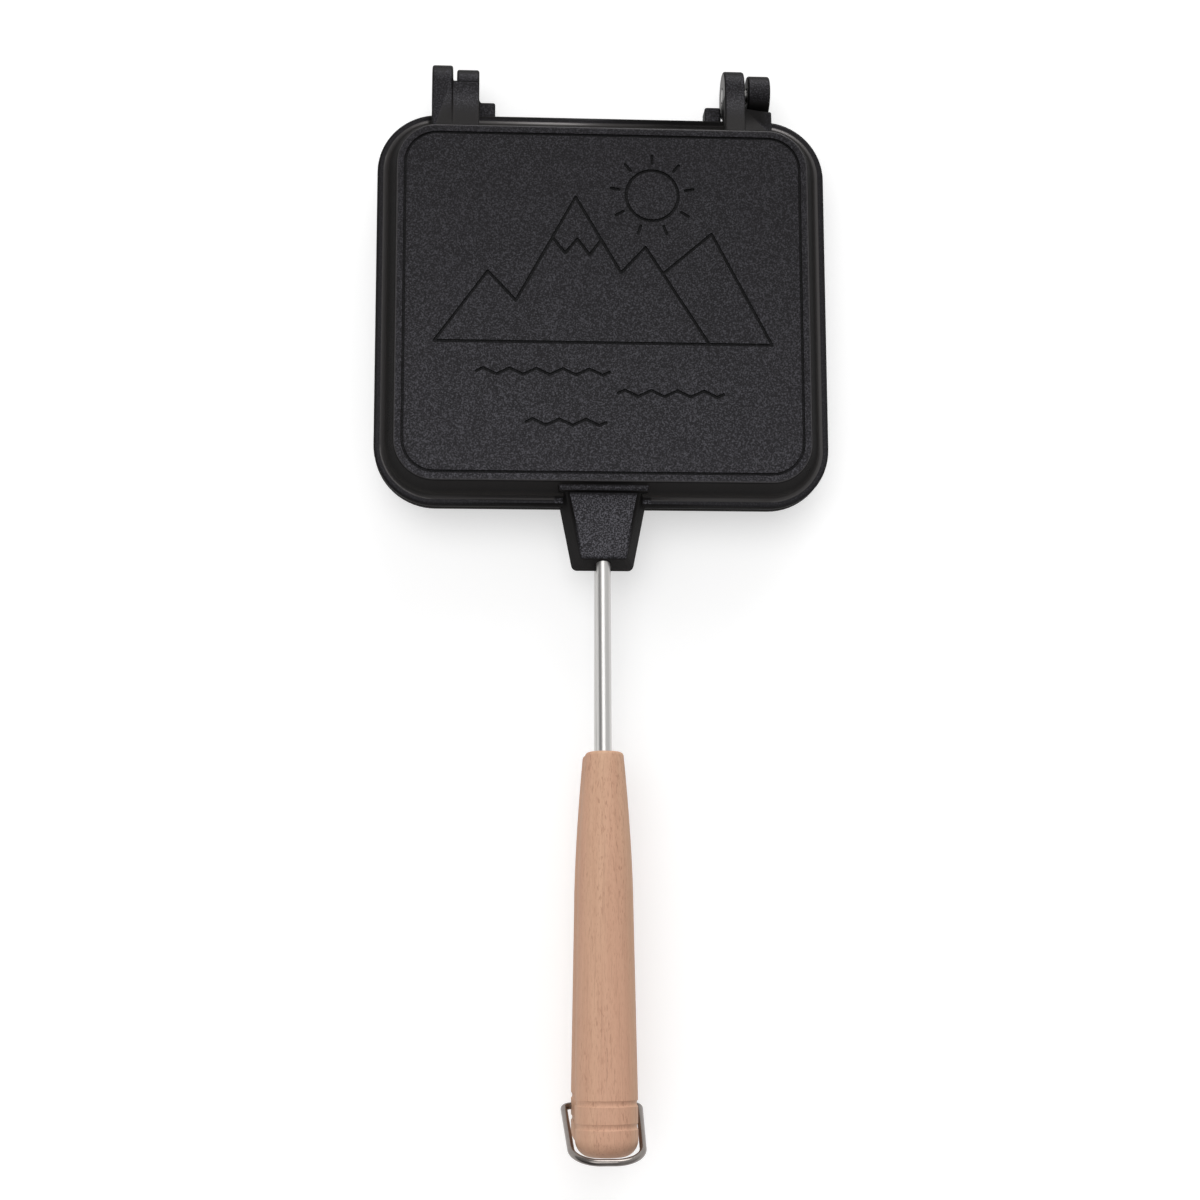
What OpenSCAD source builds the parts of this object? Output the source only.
// Two-handled pie iron for toasting filled bread over a fire.
// Two cast trays are hinged at the back, and each has a steel rod and a turned wooden grip.
// A wire ring on the lower grip swings over the upper one and holds the iron shut.
// +Z is up, the handles point along -Y, and the origin is the middle of the flat face
// that the lower tray rests on. The halves mirror each other in a level meeting plane,
// so the modules draw one half with that plane at z = 0, and the pieces are placed from it.

/* [Trays] */
// Width of a tray over its rim
tray_w = 156; // [140:1:180]
// Length of a tray over its rim, from the hinge side to the handle side
tray_l = 139; // [124:1:160]
// Height of one tray, from its rim's face to its flat outer face
tray_h = 12; // [11:0.5:16]
// Radius of the rim's corners
corner_r = 21; // [18:0.5:26]
// Thickness of the rim's flange
rim_t = 3.4; // [2.6:0.1:4.4]
// Width of the flange outside the wall
rim_w = 3.4; // [2.4:0.1:4]
// Radius of the flange's rounded edges
rim_edge_r = 1.2; // [0.6:0.1:1.3]
// Radius of the hollow corner where the wall rises from the flange
root_r = 3; // [1.5:0.1:3.3]
// How far the wall leans in from the flange to the flat face
wall_lean = 3.7; // [3:0.1:5]
// Width of the rim's flat meeting face
lip_w = 4.8; // [4.4:0.1:5.6]
// Thickness of the floor
floor_t = 3; // [2.4:0.1:4]
// Radius of the rounded edge round the flat face
face_edge_r = 0.8; // [0.5:0.1:2]
// Radius of the fillet between the pocket's wall and its floor
pocket_r = 3; // [1.5:0.1:4]

/* [Outer face] */
// Distance from the rim's edge to the middle of the frame line
line_in = 10; // [9.6:0.1:14]
// Width of the frame line
line_w = 0.9; // [0.7:0.1:2]
// Depth of the frame line
line_d = 0.6; // [0.3:0.1:1]
// Width of the landscape's cut lines
stroke_w = 1; // [0.7:0.1:1.5]
// Depth of the landscape's cut lines
stroke_d = 0.6; // [0.3:0.1:0.9]
// Radius of the landscape's sun
sun_r = 9; // [6:0.5:11]
// Number of the sun's rays
sun_rays = 9; // [5:1:13]

/* [Hinges] */
// Distance of the hinge line behind the rim
hinge_out = 10.5; // [9.6:0.1:12]
// Distance from the tray's side to the middle of a hinge
hinge_in = 26.9; // [24:0.1:32]
// Diameter of a hinge pin
pin_d = 4.5; // [3.6:0.1:5.4]
// Radius of the upper tray's ear round its pin
ear_r = 8.3; // [7.6:0.1:8.8]
// Width of an ear
ear_w = 7.2; // [5:0.1:8]
// Radius of the lower tray's knuckle round the pin
knuckle_r = 6.9; // [5.6:0.1:7]
// Width of a knuckle
knuckle_w = 7.8; // [5:0.1:8.6]
// Gap between an ear and its knuckle
ear_gap = 1.4; // [0.4:0.1:2]
// Width of the guide lug on the inner side of each hinge
lug_w = 5.7; // [3:0.1:8]
// How far a guide lug stands out behind the rim
lug_out = 6.4; // [4:0.1:7]

/* [Handle sockets] */
// Length of a socket outside the rim, at the meeting plane
socket_l = 21.5; // [20:0.1:26]
// Height of a socket's top above the meeting plane, at its end
socket_h = 8.4; // [8.2:0.1:9.5]
// Width of a socket where it leaves the rim
socket_w = 29.2; // [25:0.1:34]
// Width of a socket at its end
socket_end_w = 21.3; // [19:0.1:25]
// How far a socket's sides and end lean in up to its top
socket_draft = 2.6; // [1.2:0.1:3]
// Radius of a socket's rounded top edges
socket_edge_r = 1.5; // [0.8:0.1:2]
// Radius of a socket's corners, seen from above
socket_corner_r = 2; // [1:0.1:3]
// Width of the raised collar above a socket
collar_w = 30.4; // [24:0.1:36]
// Height of the collar's top over the rim's face
collar_h = 10; // [9:0.1:10.4]
// How far the collar stands out from the wall
collar_out = 2; // [1.2:0.1:2.6]

/* [Rods] */
// Diameter of a rod
rod_d = 5; // [4:0.1:5.2]
// Height of a rod's middle above the meeting plane where it leaves its socket
rod_z = 4.7; // [4.4:0.1:4.8]
// Angle between a rod and the meeting plane
splay = 2.7; // [2.5:0.05:3.2]
// Length of rod inside the socket
rod_in_socket = 19; // [14:0.5:19.5]
// Length of rod that shows between socket and grip
rod_shown = 62.3; // [50:0.1:90]
// Length of rod inside the grip
rod_in_grip = 98; // [60:1:100]

/* [Grips] */
// Length of a grip
grip_l = 129.5; // [126:0.5:150]
// Diameter of a grip at its neck
neck_d = 12.6; // [11:0.1:14]
// Diameter of a grip where the neck's curve ends
body_d = 18.4; // [17:0.1:19.5]
// Distance from the neck to the end of its curve
neck_l = 50; // [36:0.5:60]
// Thickest diameter of a grip
grip_d = 20.3; // [19.6:0.1:21.5]
// Distance from the tip back to where the grip is thickest
full_back = 18.5; // [16:0.5:30]
// Radius of the rounded tip
tip_r = 5.5; // [4:0.5:9]
// Radius of the rounded edge at the neck
neck_edge_r = 1.4; // [0.6:0.1:2]
// Distance from the tip back to the ring's pivot
pivot_back = 13.2; // [12.5:0.1:18]
// Distance between the two turned grooves
groove_gap = 7.2; // [5:0.1:8]
// Width of a turned groove
groove_w = 2; // [1:0.1:2.4]
// Depth of a turned groove
groove_d = 0.4; // [0.3:0.1:0.9]

/* [Ring] */
// Diameter of the ring's wire
wire_d = 2.3; // [1.8:0.1:3]
// Radius of the ring's end bends, at the wire's middle
ring_end_r = 9.3; // [7:0.1:9.8]
// Radius of the small bends at the pivot, at the wire's middle
ring_foot_r = 2.3; // [1.8:0.1:3]
// Room between the ring and the sides of the upper grip
ring_side_room = 0.25; // [0.25:0.05:1]
// Room between the ring's small bends and the sides of the lower grip
ring_foot_room = 1.3; // [0.9:0.1:2.5]
// Room between the ring and the upper grip's tip as it swings past
ring_tip_room = 0.3; // [0.3:0.05:1.5]
// Depth that each end of the wire goes into the lower grip
wire_in = 4.7; // [3:0.1:5.5]
// Angle that the ring leans out from upright
ring_lean = 20.4; // [20:0.2:60]

/* [Fits] */
// Gap between the rims of the closed trays
rim_gap = 0.2; // [0.1:0.05:0.4]
// Radial clearance of a hinge pin in its knuckle
pin_clear = 0.08; // [0.04:0.01:0.1]
// Radial clearance of the ring's wire in its holes
wire_clear = 0.05; // [0.03:0.01:0.1]
// Radial gap of a pressed or cast-in joint
seat_gap = 0.02; // [0.01:0.01:0.05]
// Gap between each hinge part and the meeting plane
part_gap = 0.4; // [0.3:0.05:0.8]
// Gap between a knuckle and the block that swings round it
swing_gap = 0.4; // [0.3:0.05:0.6]
// Gap between the two sockets
socket_gap = 0.8; // [0.6:0.1:1.4]

/* [Hidden] */
$fn = 96;
over = 0.05;
hull_fn = 32;
wire_fn = 48;

coat_color = [0.20, 0.20, 0.21];
steel_color = [0.72, 0.71, 0.70];
wire_color = [0.80, 0.79, 0.78];
wood_color = [0.78, 0.63, 0.52];

pin_r = pin_d / 2;
rod_r = rod_d / 2;
wire_r = wire_d / 2;
neck_r = neck_d / 2;
body_r = body_d / 2;
grip_r = grip_d / 2;

// Trays
half_l = tray_l / 2;
mid_z = tray_h + rim_gap / 2;
pocket_h = tray_h - floor_t;
face_in = rim_w + wall_lean;
wall_slope = wall_lean / (tray_h - rim_t);
wall_angle = atan(wall_slope);
function wall_in(z) = rim_w + wall_slope * (z - rim_t);

// Hinges: places in (y, z) are measured from the hinge line
hinge_x = tray_w / 2 - hinge_in;
hinge_y = half_l + hinge_out;
hinge_w = ear_w + ear_gap + knuckle_w;
root_y = -(hinge_out + lip_w - 1.4);
root_top_y = -(hinge_out + wall_in(ear_r) + 1.2);
arm_top = ear_r + 0.2;
block_y = -(knuckle_r + swing_gap + 1.1);
lug_y = lug_out - hinge_out;
lug_h = ear_r - 1.3;
function hinge_left(side) = side * hinge_x - hinge_w / 2;

// Handles: s is the distance along a rod from the end of its socket
socket_y = -(half_l + socket_l);
tip_s = rod_shown + grip_l;
pivot_s = tip_s - pivot_back;
pivot_y = socket_y - pivot_s * cos(splay);
pivot_z = -(rod_z + pivot_s * sin(splay));

// Ring: u runs across it and v from its pivot to its end
shoulder_s = tip_s - tip_r;
shoulder_r = grip_r - tip_r;
shoulder_y = socket_y - shoulder_s * cos(splay) + shoulder_r * sin(splay);
shoulder_z = rod_z + shoulder_s * sin(splay) + shoulder_r * cos(splay);
shoulder_far = norm([shoulder_y - pivot_y, shoulder_z - pivot_z]);
ring_reach = shoulder_far + tip_r + ring_tip_room + wire_r;
ring_end_u = grip_r + ring_side_room + wire_r - ring_end_r;
ring_end_v = ring_reach - ring_end_r;
ring_foot_u = grip_r + ring_foot_room + wire_r - ring_foot_r;
ring_foot_v = ring_foot_r;
leg_span = norm([ring_foot_u - ring_end_u, ring_end_v - ring_foot_v]);
leg_base = atan2(ring_foot_u - ring_end_u, ring_end_v - ring_foot_v);
leg_tilt = leg_base - asin((ring_end_r - ring_foot_r) / leg_span);
leg_l = sqrt(pow(leg_span, 2) - pow(ring_end_r - ring_foot_r, 2));
// A bend is a hair thicker than the straight wire that runs into it
bend_r = wire_r + 0.02;

// ---------------------------------------------------------------- helpers

// Outline of a rounded rectangle
module round_rect(w, l, r) {
    square([w - 2 * r, l], center = true);
    square([w, l - 2 * r], center = true);
    for (x = [-1, 1], y = [-1, 1])
        translate([x * (w / 2 - r), y * (l / 2 - r)])
            circle(r = r);
}

// Section with a leaning side and a rounded top edge, from the axis out to foot_x
module drafted_section(foot_x, foot_z, top_z, edge_r) {
    top_x = foot_x - (top_z - foot_z) * wall_slope;
    cut = edge_r * tan((90 - wall_angle) / 2);
    polygon([[0, foot_z], [foot_x, foot_z],
             [top_x + cut * sin(wall_angle), top_z - cut * cos(wall_angle)],
             [top_x - cut, top_z], [0, top_z]]);
    translate([top_x - cut, top_z - edge_r])
        circle(r = edge_r);
}

// Section of the hollow corner between the flange and the leaning wall. Its arc cuts both at a
// slight angle, a hair below them, so that no two faces only touch.
module root_section() {
    off = root_r - 0.03;
    reach = root_r + 0.02;
    x = corner_r - rim_w + off * (1 - sin(wall_angle)) / cos(wall_angle);
    z = rim_t + off;
    difference() {
        polygon([[corner_r - rim_w - 1, z - reach], [x, z - reach],
                 [x - reach * cos(wall_angle), z - reach * sin(wall_angle)]]);
        translate([x, z])
            circle(r = root_r);
    }
}

// Carry a section round the tray and fill the middle from low to high: the section's x runs
// outward from the corners' centres, and its y runs up
module carry_round(low, high) {
    mid_w = tray_w - 2 * corner_r;
    mid_l = tray_l - 2 * corner_r;
    for (turn = [0 : 3]) {
        across = turn % 2 == 0 ? mid_w : mid_l;
        along = turn % 2 == 0 ? mid_l : mid_w;
        rotate([0, 0, 90 * turn])
            translate([across / 2, along / 2, 0]) {
                rotate_extrude(angle = 90)
                    children();
                rotate([90, 0, 0])
                    linear_extrude(along)
                        children();
            }
    }
    translate([-mid_w / 2, -mid_l / 2, low])
        cube([mid_w, mid_l, high - low]);
}

// Extrude a section drawn in (y, z) from x0 to x1
module along_x(x0, x1) {
    translate([x0, 0, 0])
        rotate([90, 0, 90])
            linear_extrude(x1 - x0)
                children();
}

// Place children on the handle's line: their z runs from the socket's end to the tip
module on_handle() {
    translate([0, socket_y, rod_z])
        rotate([90 - splay, 0, 0])
            children();
}

// ---------------------------------------------------------------- tray

// Body of a tray: the flange with rounded edges, the hollow corner, the leaning wall and the flat face
module tray_body() {
    carry_round(0, tray_h) {
        square([corner_r - rim_edge_r, rim_t]);
        translate([0, rim_edge_r])
            square([corner_r, rim_t - 2 * rim_edge_r]);
        for (z = [rim_edge_r, rim_t - rim_edge_r])
            translate([corner_r - rim_edge_r, z])
                circle(r = rim_edge_r);
        drafted_section(corner_r - rim_w, rim_t, tray_h, face_edge_r);
        root_section();
    }
}

// Pocket that the bread lies in
module pocket() {
    mouth_drop = 1;
    carry_round(-mouth_drop, pocket_h)
        drafted_section(corner_r - lip_w + mouth_drop * wall_slope, -mouth_drop, pocket_h, pocket_r);
}

// Thin line cut round the flat face
module frame_line() {
    outer_in = line_in - line_w / 2;
    inner_in = line_in + line_w / 2;
    translate([0, 0, tray_h - line_d])
        linear_extrude(line_d + 1)
            difference() {
                round_rect(tray_w - 2 * outer_in, tray_l - 2 * outer_in, corner_r - outer_in);
                round_rect(tray_w - 2 * inner_in, tray_l - 2 * inner_in, corner_r - inner_in);
            }
}

// Socket for the rod: it narrows toward its end, and its top runs along the rod
module socket() {
    root = -half_l + face_in;
    root_w = socket_end_w + (socket_w - socket_end_w) * (root - socket_y) / socket_l;
    top_inset = socket_draft + socket_edge_r * 0.8;
    root_h = socket_h - (root - socket_y) * tan(splay);
    hull()
        for (x = [-1, 1]) {
            translate([x * (socket_end_w / 2 - socket_corner_r), socket_y + socket_corner_r, socket_gap / 2])
                cylinder(r = socket_corner_r, h = over, $fn = hull_fn);
            translate([x * (root_w / 2 - socket_corner_r), root, socket_gap / 2])
                cylinder(r = socket_corner_r, h = over, $fn = hull_fn);
            translate([x * (socket_end_w / 2 - top_inset), socket_y + top_inset, socket_h - socket_edge_r])
                sphere(r = socket_edge_r, $fn = hull_fn);
            translate([x * (root_w / 2 - top_inset), root, root_h - socket_edge_r])
                sphere(r = socket_edge_r, $fn = hull_fn);
        }
}

// Raised collar on the wall above the socket
module collar() {
    low = socket_h - 2.4;
    bevel = 0.5;
    back = -half_l + wall_in(collar_h) + 1;
    front = -half_l + wall_in(collar_h) - collar_out;
    along_x(-collar_w / 2, collar_w / 2)
        polygon([[back, low], [front, low], [front, collar_h - bevel], [front + bevel, collar_h], [back, collar_h]]);
}

module rod_bore() {
    past_end = 10;
    on_handle()
        translate([0, 0, -rod_in_socket])
            cylinder(r = rod_r + seat_gap, h = rod_in_socket + past_end);
}

// What both trays share, with the hinge parts as children
module half_tray() {
    difference() {
        union() {
            translate([0, 0, rim_gap / 2]) {
                tray_body();
                collar();
            }
            socket();
            children();
        }
        translate([0, 0, rim_gap / 2]) {
            pocket();
            frame_line();
        }
        rod_bore();
    }
}

// ---------------------------------------------------------------- hinges

// Arm from the tray's wall to the hinge line, with a round end about the pin
module arm_section(end_r) {
    circle(r = end_r);
    polygon([[root_y, part_gap], [0, part_gap], [0, end_r], [root_top_y, arm_top]]);
}

// Block of the upper tray that reaches over the left knuckle
module cover_section() {
    difference() {
        polygon([[root_y, part_gap], [0, part_gap], [0, ear_r - 0.1], [root_top_y, arm_top - 0.1]]);
        circle(r = knuckle_r + swing_gap);
    }
}

// Short block of the upper tray in front of the right knuckle
module block_section() {
    polygon([[root_y, part_gap], [block_y, part_gap], [block_y, ear_r - 1], [root_top_y, arm_top - 0.4]]);
}

module lug_section() {
    polygon([[root_y, part_gap], [lug_y, part_gap], [lug_y, lug_h], [root_top_y, lug_h + 0.8]]);
}

module pin_hole(x0, x1, r) {
    translate([x0, hinge_y, 0])
        rotate([0, 90, 0])
            cylinder(r = r, h = x1 - x0);
}

// The ear is the left part of each hinge, then comes the gap, then the knuckle
module upper_hinge(side) {
    x0 = hinge_left(side);
    x1 = x0 + ear_w;
    x2 = x0 + hinge_w;
    translate([0, hinge_y, 0]) {
        along_x(x0, x1)
            arm_section(ear_r);
        if (side < 0)
            along_x(x1 - over, x2)
                cover_section();
        else
            along_x(x1 - over, x2)
                block_section();
    }
}

module lower_hinge(side) {
    x2 = hinge_left(side) + hinge_w;
    x1 = x2 - knuckle_w;
    lug_x = side < 0 ? x2 - over : hinge_left(side) - part_gap - lug_w;
    translate([0, hinge_y, 0]) {
        along_x(x1, x2)
            arm_section(knuckle_r);
        along_x(lug_x, lug_x + lug_w)
            lug_section();
    }
}

module hinge_pin(side) {
    color(steel_color)
        translate([0, 0, mid_z])
            pin_hole(hinge_left(side), hinge_left(side) + hinge_w, pin_r);
}

module left_hinge_pin() {
    hinge_pin(-1);
}

module right_hinge_pin() {
    hinge_pin(1);
}

// ---------------------------------------------------------------- landscape

// Line of round-ended strokes through a list of points, with ends a hair wider than the line
module stroke(points) {
    for (i = [0 : len(points) - 1])
        translate(points[i])
            circle(d = stroke_w + 0.06, $fn = 24);
    for (i = [0 : len(points) - 2]) {
        run = points[i + 1] - points[i];
        translate(points[i])
            rotate(atan2(run[1], run[0]))
                translate([0, -stroke_w / 2])
                    square([norm(run), stroke_w]);
    }
}

// One ripple of water: a run of shallow waves
module ripple(waves, wave_l, wave_h) {
    stroke([for (i = [0 : 4 * waves]) [i * wave_l / 4, wave_h * sin(i * 90)]]);
}

module sun() {
    ray_gap = 2.6;
    ray_l = 2.8;
    difference() {
        circle(r = sun_r + stroke_w / 2);
        circle(r = sun_r - stroke_w / 2);
    }
    for (i = [0 : sun_rays - 1])
        rotate(90 + i * 360 / sun_rays)
            stroke([[sun_r + ray_gap, 0], [sun_r + ray_gap + ray_l, 0]]);
}

// Hills, sun and water in thin lines. Places are shares of a field inside the frame line.
module landscape() {
    field_w = tray_w - 2 * (line_in + 8);
    field_l = tray_l - 2 * (line_in + 8);
    shore = -0.14;
    function at(points) = [for (p = points) [p[0] * field_w, p[1] * field_l]];
    // shore and far hills
    stroke(at([[-0.48, shore], [0.48, shore]]));
    stroke(at([[-0.48, shore], [-0.33, 0.1], [-0.25, 0], [-0.08, 0.36], [0.05, 0.1], [0.12, 0.19], [0.3, shore]]));
    // snow line on the highest hill
    stroke(at([[-0.146, 0.22], [-0.11, 0.165], [-0.075, 0.215], [-0.04, 0.16], [-0.008, 0.212]]));
    // near hill on the right
    stroke(at([[0.175, 0.105], [0.31, 0.24], [0.48, shore]]));
    translate([0.14 * field_w, 0.37 * field_l])
        sun();
    // water
    translate([-0.36 * field_w, (shore - 0.1) * field_l])
        ripple(5, 9, 1.1);
    translate([0.04 * field_w, (shore - 0.17) * field_l])
        ripple(4, 9, 1.1);
    translate([-0.22 * field_w, (shore - 0.27) * field_l])
        ripple(3, 9, 1.1);
}

// ---------------------------------------------------------------- trays and rods

module upper_plate() {
    color(coat_color)
        translate([0, 0, mid_z])
            difference() {
                half_tray() {
                    upper_hinge(-1);
                    upper_hinge(1);
                }
                for (side = [-1, 1])
                    pin_hole(hinge_left(side) - 1, hinge_left(side) + ear_w + 1, pin_r + seat_gap);
                translate([0, 0, mid_z - stroke_d])
                    linear_extrude(stroke_d + 1)
                        landscape();
            }
}

module lower_plate() {
    color(coat_color)
        translate([0, 0, mid_z])
            mirror([0, 0, 1])
                difference() {
                    half_tray() {
                        lower_hinge(-1);
                        lower_hinge(1);
                    }
                    for (side = [-1, 1])
                        pin_hole(hinge_left(side) + ear_w, hinge_left(side) + hinge_w + 1, pin_r + pin_clear);
                }
}

module rod() {
    bore_end_gap = 0.3;
    on_handle()
        translate([0, 0, bore_end_gap - rod_in_socket])
            cylinder(r = rod_r, h = rod_in_socket - bore_end_gap + rod_shown + rod_in_grip);
}

module upper_rod() {
    color(steel_color)
        translate([0, 0, mid_z])
            rod();
}

module lower_rod() {
    color(steel_color)
        translate([0, 0, mid_z])
            mirror([0, 0, 1])
                rod();
}

// ---------------------------------------------------------------- grips

// Radius of a grip at a distance from its neck: it grows fast along the neck, then slowly
function neck_curve(s) = neck_r + (body_r - neck_r) * (1 - pow(1 - s / neck_l, 1.6));
function body_line(s) = body_r + (grip_r - body_r) * (s - neck_l) / (grip_l - full_back - neck_l);
function grip_at(s) = s < neck_l ? neck_curve(s) : min(grip_r, body_line(s));

module grip_section() {
    steps = 12;
    body_end = grip_l - tip_r;
    edge_x = grip_at(neck_edge_r) - neck_edge_r;
    polygon(concat([[0, 0], [edge_x, 0]],
        [for (i = [0 : steps]) let (s = neck_edge_r + (neck_l - neck_edge_r) * i / steps) [grip_at(s), s]],
        [[grip_r, grip_l - full_back], [grip_r, body_end], [shoulder_r, grip_l], [0, grip_l]]));
    translate([edge_x, neck_edge_r])
        circle(r = neck_edge_r);
    // rounded tip
    intersection() {
        translate([shoulder_r, body_end])
            circle(r = tip_r);
        translate([0, body_end - 1])
            square([grip_r, tip_r + 1]);
    }
}

// A shallow round-bottomed groove turned into the grip
module turned_groove(s) {
    cutter_r = (pow(groove_w / 2, 2) + pow(groove_d, 2)) / (2 * groove_d);
    translate([0, 0, s])
        rotate_extrude()
            translate([grip_at(s) + cutter_r - groove_d, 0])
                circle(r = cutter_r, $fn = wire_fn);
}

module grip() {
    past_neck = 1;
    bore_end_gap = 0.3;
    on_handle()
        translate([0, 0, rod_shown])
            difference() {
                rotate_extrude()
                    grip_section();
                turned_groove(grip_l - pivot_back - groove_gap / 2);
                turned_groove(grip_l - pivot_back + groove_gap / 2);
                translate([0, 0, -past_neck])
                    cylinder(r = rod_r + seat_gap, h = past_neck + rod_in_grip + bore_end_gap);
            }
}

// Blind cross holes that the ring's ends turn in
module ring_holes() {
    end_gap = 0.4;
    past_side = 2;
    on_handle()
        translate([0, 0, pivot_s])
            for (side = [-1, 1])
                rotate([0, side * 90, 0])
                    translate([0, 0, grip_r - wire_in - end_gap])
                        cylinder(r = wire_r + wire_clear, h = wire_in + end_gap + past_side);
}

module upper_grip() {
    color(wood_color)
        translate([0, 0, mid_z])
            grip();
}

module lower_grip() {
    color(wood_color)
        translate([0, 0, mid_z])
            mirror([0, 0, 1])
                difference() {
                    grip();
                    ring_holes();
                }
}

// ---------------------------------------------------------------- ring

// Bend of the wire about a centre in the (u, v) plane, between two angles
module wire_bend(r, from, to) {
    rotate([90, 0, 0])
        rotate([0, 0, from])
            rotate_extrude(angle = to - from)
                translate([r, 0])
                    circle(r = bend_r, $fn = wire_fn);
}

// Straight wire along its own z
module wire(length) {
    translate([0, 0, -over])
        cylinder(r = wire_r, h = length + 2 * over, $fn = wire_fn);
}

// One side of the ring, from its end bend to the end of the wire in the grip
module ring_side() {
    translate([ring_end_u, 0, ring_end_v])
        wire_bend(ring_end_r, leg_tilt, 90);
    translate([ring_foot_u, 0, ring_foot_v]) {
        wire_bend(ring_foot_r, -90, leg_tilt);
        rotate([0, -leg_tilt, 0])
            translate([ring_foot_r, 0, 0])
                wire(leg_l);
    }
    translate([grip_r - wire_in, 0, 0])
        rotate([0, 90, 0])
            wire(ring_foot_u - grip_r + wire_in);
}

module handle_ring() {
    color(wire_color)
        translate([0, pivot_y, mid_z + pivot_z])
            rotate([ring_lean, 0, 0]) {
                ring_side();
                mirror([1, 0, 0])
                    ring_side();
                translate([-ring_end_u, 0, ring_reach])
                    rotate([0, 90, 0])
                        wire(2 * ring_end_u);
            }
}

lower_plate();
upper_plate();
left_hinge_pin();
right_hinge_pin();
lower_rod();
upper_rod();
lower_grip();
upper_grip();
handle_ring();
